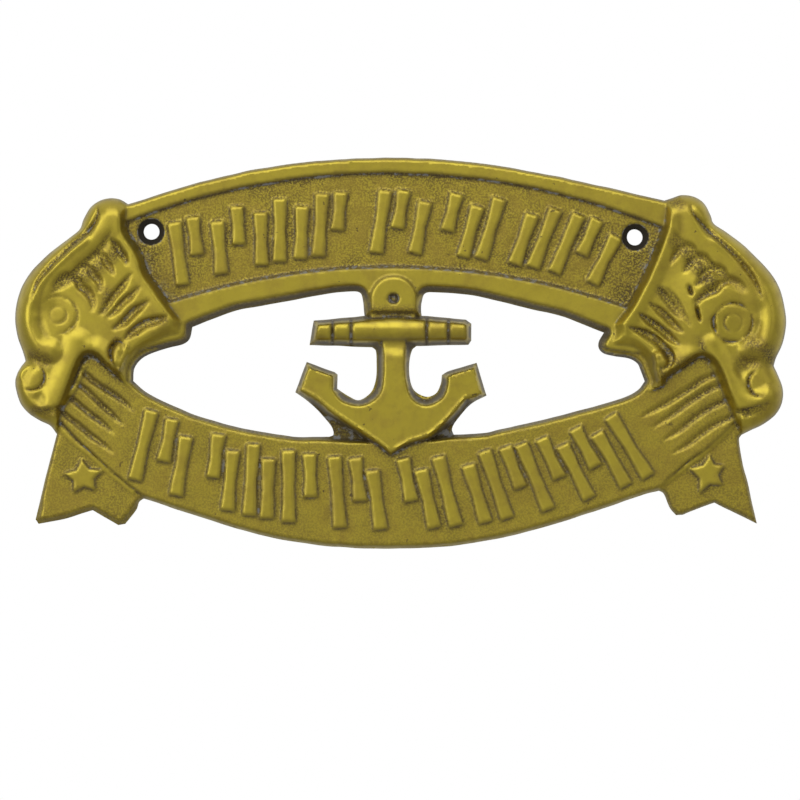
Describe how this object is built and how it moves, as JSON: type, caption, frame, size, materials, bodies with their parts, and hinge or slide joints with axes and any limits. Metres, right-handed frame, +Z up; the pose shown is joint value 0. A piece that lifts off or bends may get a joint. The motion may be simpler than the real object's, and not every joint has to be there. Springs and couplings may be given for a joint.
{
  "type": "boat sign",
  "caption": "Cast brass nautical wall sign: an arched band and a ribbon banner joined by an anchor and two sea-beast heads, with countersunk screw holes.",
  "frame": {"origin": "on the flat back face, behind the anchor's shank, where the wall touches the sign", "axes": "+X to the sign's right as a viewer in front sees it, +Y out of the back into the wall, +Z up; the front faces -Y"},
  "size_m": [0.2308, 0.0107, 0.1171],
  "materials": {
    "brass": "hand-polished sand-cast brass, satin, with brown patina in the sunk ground"
  },
  "bodies": {
    "root": {"sign_plaque": "brass"}
  },
  "joints": []
}
